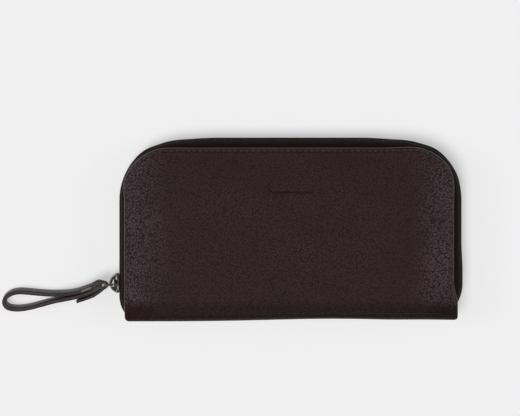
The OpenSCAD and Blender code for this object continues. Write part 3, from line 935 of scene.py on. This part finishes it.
def zip_stops(half):
    """A pressed metal clamp just past each end of a row."""
    build = Build()
    long, wide = 1.8, 2.6
    low, high = box_mm(half + "_zip_stops")
    for s, sign in ((0.0, -1), (ZIP.length - 1e-6, 1)):
        p, ahead, out = (v[0] for v in ZIP.at([s]))
        verts, faces = rounded_bar((-long / 2, -wide / 2, low[2]), (long / 2, wide / 2, high[2]), 0.3)
        verts = np.array(verts)
        pinch = 1 - 0.12 * np.exp(-(verts[:, 0] / 0.4) ** 2)
        plan = p + ahead * (sign * (0.1 + long / 2) + verts[:, :1]) + out * (verts[:, 1] * pinch)[:, None]
        build.add(np.column_stack([plan, verts[:, 2]]), faces)
    piece = build.piece(half + "_zip_stops_metal", [BLACK_NICKEL])
    attach(piece, half + "_cover", half + "_zip_stops", creased=True)


def zip_coil(half, side):
    build = Build()
    coil_row(build, zip_plan, 0.4, ZIP.length - 0.8, side, COIL_WIDTH, 1.2, COIL_WIRE, COIL_REACH, -0.05)
    # the chain of sewing that holds the coil to its tape
    s = np.arange(0.4, ZIP.length - 0.4, COIL_PITCH / 4)
    p, _, out = zip_plan(s)
    wave = 0.1 * np.cos(2 * math.pi * s / COIL_PITCH)
    for level in (1.25, 1.7):
        path = p + out * (0.72 + wave)[:, None] + np.array([0, 0, MID_Z + side * level])
        build.add(*tube(path, 0.17, 5, side_hint=out), slot=1)
    piece = build.piece(half + "_zip_coil_nylon", [NYLON, THREAD])
    attach(piece, half + "_cover", half + "_zip_coil")


# ---- Main slider, ring and strap ----

def rounded_bar(low, high, radius):
    """A box with rounded edges, from its lowest and highest corners."""
    low, high = np.array(low, float), np.array(high, float)
    work = bmesh.new()
    bmesh.ops.create_cube(work, size=1.0)
    for v in work.verts:
        v.co = Vector((low + high) / 2 + np.array(v.co) * (high - low))
    bmesh.ops.bevel(work, geom=work.edges[:], offset=radius, segments=3, profile=0.5, affect="EDGES")
    verts = [tuple(v.co) for v in work.verts]
    work.verts.index_update()
    faces = [tuple(v.index for v in f.verts) for f in work.faces]
    work.free()
    return verts, faces


def add_bar(build, x, y, z, radius, slot=0):
    """Adds a rounded bar from its (low, high) places, where z counts from the zip's middle."""
    corners = [(x[i], y[i], MID_Z + z[i]) for i in (0, 1)]
    build.add(*rounded_bar(*corners, radius), slot=slot)


RIBBON_SIDES = 16


def ribbon(path, side, half_width_mm, half_thick, bevel):
    """A strip swept along a path, with rounded long edges. side is the direction of its thickness."""
    path = np.asarray(path, float)
    tangent = unit(np.gradient(path, axis=0))
    side = unit(np.asarray(side, float))
    across = unit(np.cross(tangent, side))
    section = []
    for cx, cy in ((-1, -1), (1, -1), (1, 1), (-1, 1)):
        base = math.atan2(cy, cx)
        for turn in (-45, -15, 15, 45):
            a = base + math.radians(turn)
            section.append((cx, cy, bevel * math.cos(a), bevel * math.sin(a)))
    rings = []
    wide = np.broadcast_to(half_width_mm, (len(path),))
    thick = np.broadcast_to(half_thick, (len(path),))
    for cx, cy, bx, by in section:
        s = cx * (wide - bevel) + bx
        t = cy * (thick - bevel) + by
        rings.append(path + across * s[:, None] + side * t[:, None])
    return np.stack(rings, 1).reshape(-1, 3), capped_faces(len(path), RIBBON_SIDES)


SLIDER_PLATE = 0.9


def shield_plate(level, half_l):
    """A slider plate from X = level outwards: a shield outline, wider where the rows part."""
    outline = []
    for f in np.linspace(0, 2 * math.pi, 49)[:-1]:
        y = math.copysign(abs(math.sin(f)) ** 0.55, math.sin(f)) * half_l
        wide = 3.5 - 0.5 * smoothstep(y, -2, 5)
        z = math.copysign(abs(math.cos(f)) ** 0.5, math.cos(f)) * wide
        outline.append((SLIDER_Y + y, MID_Z + z))
    outline = np.array(outline)
    centre = outline.mean(0)
    rounding = ((0.0, 0.72), (0.04, 0.93), (0.22, 1.0), (0.68, 1.0), (0.86, 0.93), (SLIDER_PLATE, 0.72))
    rings = []
    for shift, shrink in rounding:
        ring = centre + (outline - centre) * shrink
        rings.append(np.column_stack([np.full(len(ring), level + shift), ring]))
    return np.concatenate(rings), capped_faces(len(rings), len(outline))


def zip_slider():
    """Two plates joined by a wedge, a deep lip over the back row and a low one over the front row,

    the lock's housing, and the arch with its two seats.
    """
    inner, outer = ZIP_LEFT - COIL_HALF - 0.15, ZIP_LEFT + COIL_HALF + 0.15
    face = inner - SLIDER_PLATE
    half_l = (slider_high[1] - slider_low[1]) / 2
    low, high = SLIDER_Y - half_l, SLIDER_Y + half_l
    build = Build()

    for level in (face, outer):
        build.add(*shield_plate(level, half_l))
    add_bar(build, (inner - 0.1, outer + 0.1), (low + 0.4, low + 3.4), (-0.15, 0.15), 0.06)
    add_bar(build, (inner - 0.15, inner + 0.6), (low + 1.2, high - 0.8), (-3.45, -2.65), 0.2)
    add_bar(build, (inner - 0.15, inner + 0.1), (low + 1.2, high - 0.8), (2.75, 3.45), 0.1)
    # raised seats on the outer plate, where the arch's two feet stand
    for y, long in ((SLIDER_Y + 3.4, 3.6), (SLIDER_Y - 3.8, 2.8)):
        add_bar(build, (face - 1.0, face + 0.2), (y - long / 2, y + long / 2), (-1.7, 1.7), 0.35)
    # housing of the lock's spring, low inside the arch; its black nickel is partly the metal's own dark
    # finish and partly painted shade filling the arch's inside
    add_bar(build, (face - 1.95, face + 0.2), (SLIDER_Y - 3.9, SLIDER_Y + 3.9), (-1.1, 1.1), 0.45,
            slot=1)

    arch_r, arch_t, seat_r = 5.7, 0.9, 4.4
    arch_x = slider_low[0] + arch_r
    mid = arch_r - arch_t / 2
    reach = math.acos((arch_x - (face + 0.35)) / mid)

    def bow(radius, f_from, f_to, count):
        """A path round the arch's centre, with the direction outwards from it and its angles."""
        f = np.linspace(f_from, f_to, count)
        bow_x, bow_y = arch_x - radius * np.cos(f), SLIDER_Y + radius * np.sin(f)
        outward = np.stack([-np.cos(f), np.sin(f), np.zeros(count)], 1)
        return np.stack([bow_x, bow_y, np.full(count, MID_Z)], 1), outward, f

    arch, outward, f = bow(mid, -reach, reach, 41)
    build.add(*ribbon(arch, outward, 1.2 + 0.25 * smoothstep(np.abs(f), 0.4, reach), arch_t / 2, 0.3))
    # black-nickel seat inside the arch, open where the ring's bar lies; its dark colour is partly the
    # metal's own finish and partly painted shade inside the arch
    bar_angle = math.asin((RING_PIVOT[1] - SLIDER_Y) / 4.2)
    for f_from, f_to in ((-reach, bar_angle - 0.2), (bar_angle + 0.2, reach)):
        seat, outward, f = bow(seat_r, f_from, f_to, 16)
        build.add(*ribbon(seat, outward, 0.95, 0.4, 0.15), slot=1)
    piece = build.piece("zip_slider_metal", [GUNMETAL, BLACK_NICKEL])
    attach(piece, "slider", "zip_slider", creased=True)


def pull_ring():
    """A rectangular wire link, with one bar in the slider's arch and the other in the strap's fold."""
    wire, corner = 1.2, 0.75
    a, b = RING_PIVOT, STRAP_BAR
    along = unit(b - a)
    centre = (a + b) / 2
    half_l = np.linalg.norm(b - a) / 2
    half_h = box_mm("pull_ring")[1][2] - wire / 2 - MID_Z
    path = []
    for cx, cz, start in ((1, 1, 0), (-1, 1, 90), (-1, -1, 180), (1, -1, 270)):
        for turn in np.radians(np.linspace(start, start + 90, 9)):
            s = cx * (half_l - corner) + corner * math.cos(turn)
            z = cz * (half_h - corner) + corner * math.sin(turn)
            path.append(centre + along * s + np.array([0, 0, z]))
    build = Build()
    across = np.cross(along, (0, 0, 1))
    build.add(*tube(np.array(path), wire / 2, 14, side_hint=across, closed=True))
    attach(build.piece("pull_ring_wire", [BRASS]), "ring", "pull_ring")


STRAP_ROUTE = [
    (-117.0, -36.6), (-113.2, -35.3), (-109.4, -33.9), (-105.6, -32.2), (-103.2, -30.4),
    (-101.6, -29.55), (-100.8, -28.6), (-101.0, -27.3), (-102.4, -26.5),
    (-105.8, -27.2), (-109.2, -28.8), (-112.6, -30.1), (-116.2, -31.3), (-121.4, -32.4),
    (-127.0, -32.9), (-133.0, -33.0), (-139.0, -32.6), (-145.2, -32.0), (-150.6, -31.8),
    (-154.8, -32.8), (-157.8, -35.2), (-158.3, -38.0), (-156.6, -40.3), (-153.2, -41.2),
    (-149.0, -41.2), (-143.2, -40.2), (-136.8, -38.5), (-130.4, -36.8), (-124.2, -35.6),
    (-117.8, -34.2), (-112.0, -32.5), (-107.6, -30.6), (-104.6, -29.1), (-103.6, -28.85),
]
STRAP_W, STRAP_T, STRAP_TAIL_T, STRAP_FOLD_T = 7.0, 2.2, 1.6, 1.2
STRAP_FOLD_POINT = 6
STRAP_LOOP_BACK = 27


def spline(points, per_step):
    """Points of a smooth line through the given ones, with each one's place in the list."""
    p = np.array([points[0], *points, points[-1]], float)
    out, index = [], []
    for i in range(1, len(p) - 2):
        a, b, c, d = p[i - 1:i + 3]
        for t in np.arange(per_step) / per_step:
            out.append(0.5 * (2 * b + (c - a) * t + (2 * a - 5 * b + 4 * c - d) * t ** 2
                              + (3 * b - a - 3 * c + d) * t ** 3))
            index.append(i - 1 + t)
    out.append(p[-1])
    index.append(len(points) - 1.0)
    return np.array(out), np.array(index)


def strap_height(x):
    """Height of the strap's middle: it comes down from the ring to lie on the table."""
    rest_z, down_x, up_x = 3.75, -134.0, -104.0
    return rest_z + (MID_Z - rest_z) * smoothstep(x, down_x, up_x)


def strap_frame():
    """The strap's middle line, the way its thickness points, that thickness, and places in the route."""
    plan, index = spline(STRAP_ROUTE, per_step=8)
    heading = unit(np.gradient(plan, axis=0))
    side = np.stack([-heading[:, 1], heading[:, 0]], 1)
    # the loop leans towards the spine all the way round
    lean = np.radians(14.0) * smoothstep(-104 - plan[:, 0], 0, 5) * heading[:, 0]
    near = np.linalg.norm(plan - STRAP_BAR[:2], axis=1)
    full = np.where(index < STRAP_FOLD_POINT, STRAP_TAIL_T, STRAP_T)
    thick = STRAP_FOLD_T + (full - STRAP_FOLD_T) * smoothstep(near, 3, 7)
    thick = np.where(index > STRAP_LOOP_BACK, full + 0.6 * smoothstep(index, 30.2, 32.2), thick)
    # past the arch's reach the fold fills out on its outer side, and it closes in round the ring's bar
    spare = np.clip(full - thick, 0, 1.0)
    outer = spare * (smoothstep(index, 7.9, 8.9) + 0.4 * smoothstep(index, 8.4, 9.4))
    outer = outer + np.clip(full - thick, 0, 0.4) * smoothstep(-index, -STRAP_FOLD_POINT + 0.6, -2)
    inner = smoothstep(index, 3.2, 4.2) - smoothstep(index, 5.0, 5.6)
    inner = 0.5 * (inner + smoothstep(index, 7.4, 8.4) - smoothstep(index, 9.6, 10.4))
    thick = thick + outer + inner
    plan = plan + side * (inner - outer)[:, None] / 2
    path = np.column_stack([plan, strap_height(plan[:, 0])])
    normal = np.column_stack([side * np.cos(lean)[:, None], np.sin(lean)])
    return path, normal, thick, index


# the ribbon's sides that are painted: its two narrow faces and their rounded corners
PAINTED_SIDES = ({15, 0, 1, 2, 3}, {4, 5, 6, 7}, {8, 9, 10, 11}, {12, 13, 14, 15}, {3, 4}, {11, 12})


def wrist_strap():
    path, normal, thick, _ = strap_frame()
    tangent = unit(np.gradient(path, axis=0))
    normal = unit(normal - (normal * tangent).sum(1, keepdims=True) * tangent)
    verts, faces = ribbon(path, normal, STRAP_W / 2, thick / 2, 0.32)
    slots = []
    for face in faces:
        sides = {i % RIBBON_SIDES for i in face}
        painted = len(face) > 4 or any(sides <= group for group in PAINTED_SIDES)
        slots.append(1 if painted else 0)
    piece = add_mesh("wrist_strap_leather", verts, faces, [STRAP_LEATHER, STRAP_EDGE], face_materials=slots)
    attach(piece, "strap", "wrist_strap", creased=True)


def strap_stitching():
    """Two short threads side by side at each hole that joins the strap's layers."""
    path, normal, thick, index = strap_frame()
    tangent = unit(np.gradient(path, axis=0))
    up = unit(np.cross(tangent, normal))
    up = up * np.sign(up[:, 2:3])
    build = Build()
    for at in (0.9, 1.6, 2.3, 9.8, 10.4, 11.0, 11.6):
        i = int(np.argmin(np.abs(index - at)))
        for level in (-0.66, 0.66):
            place = path[i] + up[i] * level * STRAP_W / 2 - normal[i] * thick[i] / 2
            stitch_row(build, [place], [tangent[i]], [-normal[i]], length=1.7, thick=0.42, height=0.06)
    attach(build.piece("strap_stitching_thread", [THREAD]), "strap", "strap_stitching")


# ---- Inside: linings, pockets and gussets ----

def rounded_half_width(half_w, top, radius, y):
    into = np.clip(radius - (top - y), 0, radius)
    return half_w - (radius - np.sqrt(radius ** 2 - into ** 2))


def panel(node, body, material, facing, radius, hem=0.0, name_end="_sheet"):
    """A sewn panel in place of a flat CAD one: turned top edge, soft edges and a slight wave.

    facing is the Z direction of the face that shows.
    """
    low, high = box_mm(node)
    thick = high[2] - low[2]
    face = high[2] if facing > 0 else low[2]
    drop = np.array([0, 0.07, 0.2, 0.4, 0.8, 1.3, 1.7, 2.0, 2.3, 2.8, 3.4, 3.9, 4.0, 4.2, 4.6, 6, 8, 10])
    rest = np.linspace(12, high[1] - low[1], 16)
    y = high[1] - np.concatenate([drop, rest])
    near = np.array([0, 0.0008, 0.0024, 0.005, 0.01, 0.02, 0.04])
    u = np.concatenate([near, np.linspace(0.07, 1.0, 22)])
    u = np.concatenate([u - 1, (1 - u[:-1])[::-1]])
    x = u[None, :] * rounded_half_width(high[0], high[1], radius, y)[:, None]
    y = np.broadcast_to(y[:, None], x.shape)
    from_top = high[1] - y
    from_side = high[0] - np.abs(x)
    sewn = 1 - 0.8 * np.exp(-((from_top - 2.0) / 0.35) ** 2)
    turned = hem * (1 - smoothstep(from_top, 3.95, 4.25)) * sewn
    roll = 0.5 * thick
    edge = np.clip(roll - np.minimum(from_top, from_side), 0, roll)
    rise = turned - 0.8 * (roll - np.sqrt(np.maximum(roll ** 2 - edge ** 2, 0)))
    seed = float(low[2]) * 1.7
    wave = np.array([noise.noise(Vector((a / 31, b / 17, seed))) for a, b in zip(x.ravel(), y.ravel())])
    rise = rise + 0.09 * (wave.reshape(x.shape) - 0.4)
    verts = np.stack([x, y, face + facing * rise], -1)
    piece = sheet(node + name_end, verts, material, np.stack([x, y], -1))
    weld(piece, outward=(0, 0, facing))
    thicken(piece, thick * 0.9, -1)
    attach(piece, body, node)


def straight_row(build, start, end, up):
    """A row of stitches between two points of a face whose normal is up."""
    start, end, up = (np.array(v, float) for v in (start, end, up))
    span = np.linalg.norm(end - start)
    count = max(1, int(span // STITCH_PITCH))
    ahead = (end - start) / span
    points = start + np.outer((np.arange(count) + 0.5) * span / count, ahead)
    stitch_row(build, points, [ahead] * count, [up] * count, length=2.4, thick=0.42, height=0.1)


def pocket_threads(name, body, nodes, facing, gap_y):
    """Seams along each turned edge, down both sides and down the middle between two columns."""
    build = Build()
    up = (0, 0, facing)
    for i, node in enumerate(nodes):
        low, high = box_mm(node)
        face = (high[2] if facing > 0 else low[2]) + facing * 0.05
        half = high[0] - 3
        hem_y, hem_z = high[1] - 2, face + facing * 0.03
        straight_row(build, (-half, hem_y, hem_z), (half, hem_y, hem_z), up)
        top, bottom = high[1] - 4.6, low[1] + 2 if i == len(nodes) - 1 else high[1] - gap_y
        z = face - facing * 0.07
        for x in (-half + 1, 0, half - 1) if gap_y else (-half + 1, half - 1):
            straight_row(build, (x, top, z), (x, bottom, z), up)
    attach(build.piece(name, [THREAD]), body)


def spine_lining():
    """Lining of the spine's inner face, which follows the spine's wave."""
    low, high = box_mm("spine_lining")
    x = np.linspace(low[0], high[0], 90)
    z = np.concatenate([low[2] + np.array([0, 0.1, 0.3]), np.linspace(low[2] + 0.8, high[2] - 0.8, 9),
                        high[2] - np.array([0.3, 0.1, 0])])
    x, z = np.meshgrid(x, z)
    rim = 0.25 * np.exp(-np.minimum(z - low[2], high[2] - z) / 0.12)
    y = Y_LOW + LEATHER_T + 0.75 + spine_wave(x) - rim
    piece = sheet("spine_lining_sheet", np.stack([x, y, z], -1), LINING, np.stack([x, z], -1))
    weld(piece, outward=(0, 1, 0))
    thicken(piece, 0.5, -1)
    attach(piece, "divider", "spine_lining")


def gusset(node, half, end_side):
    """A folded side wall between the divider and a cover, built in one fixed V fold.

    Both leaves end in a narrow tab, sewn flat to the card slots and to the coin pocket.
    """
    low, high = box_mm(node)
    outer, inner = max(abs(low[0]), abs(high[0])), min(abs(low[0]), abs(high[0]))
    z_cover, z_divider = (high[2], low[2]) if half == "front" else (low[2], high[2])
    tab = 3.0
    t = np.linspace(0, 1, 25)
    leaf = inner + (outer - inner) * (np.sqrt((2 * t - 1) ** 2 + 0.004) - 0.06)
    reach = np.concatenate([[leaf[0] - tab, leaf[0] - tab / 2], leaf, [leaf[-1] - tab / 2, leaf[-1] - tab]])
    lift = np.concatenate([[0, 0], t, [1, 1]])
    run = running(np.hypot(np.diff(reach), np.diff(lift) * (high[2] - low[2])))
    y = np.concatenate([np.linspace(high[1], high[1] - 1.2, 4), np.linspace(high[1] - 4, low[1], 14)])
    reach, y = np.meshgrid(reach, y)
    lift, run = np.broadcast_to(lift, y.shape), np.broadcast_to(run, y.shape)
    swell = np.sin(lift * math.pi)
    ripple = 0.35 * np.sin(y * 0.42) * swell + 0.1 * np.sin(y * 1.1) * swell
    verts = np.stack([end_side * (reach + ripple), y, z_cover + (z_divider - z_cover) * lift], -1)
    piece = sheet(node + "_fold", verts, LINING, np.stack([run, y], -1))
    weld(piece, outward=(-end_side, 0, 0))
    thicken(piece, 0.4)
    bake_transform(piece)
    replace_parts(piece, node)


def pocket_seam(node, end_side):
    """The coin pocket's side: a cloth strip folded inwards between the two panels."""
    low, high = box_mm(node)
    edge = max(abs(low[0]), abs(high[0])) - 0.3
    t = np.linspace(0, 1, 13)
    y, t = np.meshgrid(np.linspace(high[1], low[1], 40), t, indexing="ij")
    fold = 1.3 * np.sin(t * math.pi) * (1 + 0.12 * np.sin(y * 0.5))
    verts = np.stack([end_side * (edge - fold), y, low[2] + (high[2] - low[2]) * t], -1)
    piece = sheet(node + "_cloth", verts, LINING)
    thicken(piece, 0.45)
    attach(piece, "divider", node)


def coin_stops():
    low, high = box_mm("coin_zip_stops")
    long = 1.8
    build = Build()
    for sign in (-1, 1):
        x = sorted((sign * high[0], sign * (high[0] - long)))
        build.add(*rounded_bar((x[0], low[1], low[2]), (x[1], high[1], high[2]), 0.35))
    piece = build.piece("coin_zip_stops_metal", [BLACK_NICKEL])
    attach(piece, "divider", "coin_zip_stops", creased=True)


def coin_zip():
    """Tapes and coils of the coin pocket's zip, whose rows stand a little apart."""
    coil_low, coil_high = box_mm("coin_zip_back_coil")
    coil_y = (coil_low[1] + coil_high[1]) / 2
    half_l = coil_high[0]

    def line(s):
        s = np.atleast_1d(s)
        points = np.stack([s - half_l, np.full(len(s), coil_y), np.zeros(len(s))], 1)
        return points, np.tile([1.0, 0, 0], (len(s), 1)), np.tile([0, 1.0, 0], (len(s), 1))

    for half, side in (("back", -1), ("front", 1)):
        build = Build()
        coil_row(build, line, 0.2, 2 * half_l - 0.9, side, width=1.3, depth=1.35, wire=0.46, reach=-0.36)
        piece = build.piece(f"coin_zip_{half}_coil_nylon", [NYLON])
        attach(piece, "divider", f"coin_zip_{half}_coil")

        low, high = box_mm(f"coin_zip_{half}_tape")
        flat_z = abs((low[2] + high[2]) / 2 - MID_Z)
        top = high[1]
        section = [(low[1], flat_z), (low[1] + 2, flat_z), (top - 2.2, flat_z),
                   (top - 1.1, flat_z - 0.02), (top - 0.5, flat_z - 0.1), (top - 0.15, flat_z - 0.35),
                   (top - 0.02, flat_z - 0.7), (top, 0.3)]
        x = np.linspace(low[0], high[0], 60)
        verts = np.array([[(a, y, MID_Z + side * z) for y, z in section] for a in x])
        across = running([math.dist(a, b) for a, b in zip(section, section[1:])])
        uvs = np.stack(np.broadcast_arrays(x[:, None], across[None, :]), -1)
        piece = sheet(f"coin_zip_{half}_tape_woven", verts, TAPE, uvs)
        thicken(piece, 0.36)
        attach(piece, "divider", f"coin_zip_{half}_tape")


def coin_slider():
    """A top plate with two side lips, a foot below the coils, a web between the rows and an arch."""
    low, high = box_mm("coin_slider")
    coil_low, coil_high = box_mm("coin_zip_back_coil")
    coil_top, pocket_top = coil_high[1], coil_low[1] - 0.2
    left, right = low[0], high[0]
    build = Build()

    add_bar(build, (left, right), (coil_top + 0.15, coil_top + 0.95), (-2.5, 2.5), 0.3)
    for z in ((-2.5, -2.05), (2.05, 2.5)):
        add_bar(build, (left + 1, right - 1), (coil_top - 0.5, coil_top + 0.6), z, 0.15)
    add_bar(build, (left, right), (pocket_top - 1, pocket_top - 0.1), (-0.75, 0.75), 0.25)
    add_bar(build, (left + 0.5, left + 3), (pocket_top - 0.5, coil_top + 0.5), (-0.1, 0.1), 0.04)
    f = np.linspace(0, math.pi, 25)
    reach, rise = (right - left) / 2 - 1.4, high[1] - coil_top - 1.3
    arch_x = (left + right) / 2 + reach * np.sign(np.cos(f)) * np.abs(np.cos(f)) ** 0.6
    arch_y = coil_top + 0.85 + rise * np.sin(f) ** 0.6
    outward = np.stack([np.cos(f), np.sin(f), np.zeros(len(f))], 1)
    build.add(*ribbon(np.stack([arch_x, arch_y, np.full(len(f), MID_Z)], 1), outward, 0.9, 0.42, 0.22))
    piece = build.piece("coin_slider_metal", [GUNMETAL])
    attach(piece, "coin_slider", "coin_slider", creased=True)


def coin_tab():
    """The pull: a flat tab, waisted behind the eye and rounded at its free end."""
    pivot = joint_mm("coin_tab_swing")
    low, high = box_mm("coin_pull_tab")
    half = (high[2] - low[2]) / 2
    build = Build()
    axle = (0, 0, half - 0.2)
    build.add(*tube([pivot - axle, pivot + axle], 0.58, 12, side_hint=(1, 0, 0)))
    for sign in (-1, 1):
        z = sorted((pivot[2] + sign * half, pivot[2] + sign * 1.35))
        build.add(*rounded_bar((pivot[0] - 5.2, low[1], z[0]), (pivot[0] + 0.6, high[1], z[1]), 0.28))
    round_end = -17 + 2.5 * (1 - np.sin(np.linspace(0, 1.5, 10)))
    x = np.concatenate([[-4.4, -4.6], np.linspace(-5.2, -14.5, 16), round_end])
    wide = np.where(x > -14.5, half - 0.55 * np.exp(-((x + 8.2) / 2.4) ** 2),
                    half * np.sqrt(np.clip(1 - ((-14.5 - x) / 2.6) ** 2, 0.05, 1)))
    path = pivot + np.column_stack([x, np.zeros((len(x), 2))])
    up = np.tile([0, 1.0, 0], (len(x), 1))
    build.add(*ribbon(path, up, wide, (high[1] - low[1]) / 2, 0.3))
    piece = build.piece("coin_pull_tab_metal", [GUNMETAL])
    attach(piece, "coin_tab", "coin_pull_tab", creased=True)


# ---- Main ----

make_camera()
LEATHER = leather("pebbled_leather", rgb(40, 21, 24), rgb(64, 40, 46), 1.15, 0.24, 0.52, 0.2, on_uv=True)
STRAP_LEATHER = strap_leather()
STRAP_EDGE = leather("strap_edge_paint", rgb(22, 17, 17), rgb(36, 28, 28), 1.4, 0.05, 0.36)
EDGE_PAINT = edge_paint()
THREAD = thread("seam_thread", rgb(52, 38, 40), rgb(108, 90, 90))
# painted shade: near-black colour that stands in for the shade inside each needle hole
PAINTED_HOLE_SHADE = thread("needle_hole", rgb(4, 2, 2), rgb(9, 5, 5))
TAPE = woven_tape("zip_tape_weave", rgb(16, 5, 5), rgb(42, 20, 18))
NYLON = nylon()
GUNMETAL = metal("gunmetal", rgb(70, 68, 65), rgb(136, 132, 126), 0.3)
BLACK_NICKEL = metal("black_nickel", rgb(30, 28, 27), rgb(62, 58, 54), 0.35)
BRASS = metal("antique_brass", rgb(88, 78, 52), rgb(152, 138, 100), 0.32)
LINING = lining_cloth()
BOARD = board_material()
PANEL_LEATHER = leather("panel_leather", rgb(52, 38, 36), rgb(88, 68, 63), 0.7, 0.05, 0.5)
make_studio()

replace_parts(shell("front", 1), "front_leather", "spine_leather")
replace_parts(shell("back", -1), "back_leather")
for half, side in (("front", 1), ("back", -1)):
    cover_stitching(half, side)
    zip_tape(half, side)
    zip_coil(half, side)
    zip_stops(half)
zip_slider()
pull_ring()
wrist_strap()
strap_stitching()

for half, inward in (("front", -1), ("back", 1)):
    cover = half + "_cover"
    slots = [f"{half}_card_slot_{i}" for i in (1, 2, 3, 4)]
    panel(half + "_lining", cover, LINING, inward, CORNER_R - LINING_INSET)
    panel(half + "_slip_panel", cover, LINING, inward, 12, hem=0.1)
    for node_name in slots:
        panel(node_name, cover, PANEL_LEATHER, inward, 3, hem=0.13, name_end="_leather")
    pocket_threads(half + "_pocket_threads", cover, slots, inward, 11)
    panel(f"pocket_{half}_panel", "divider", PANEL_LEATHER, -inward, 3, hem=0.13,
          name_end="_leather")
    pocket_threads(f"pocket_{half}_threads", "divider", [f"pocket_{half}_panel"], -inward, 0)
    for end_side, end_name in ((-1, "left"), (1, "right")):
        gusset(f"gusset_{half}_{end_name}", half, end_side)
for end_side, end_name in ((-1, "left"), (1, "right")):
    pocket_seam(f"pocket_{end_name}_seam", end_side)
spine_lining()
coin_zip()
coin_slider()
coin_tab()
coin_stops()

for node_name, node in frame["nodes"].items():
    if "board" in node_name:
        for material_slot in node.material_slots:
            material_slot.material = BOARD
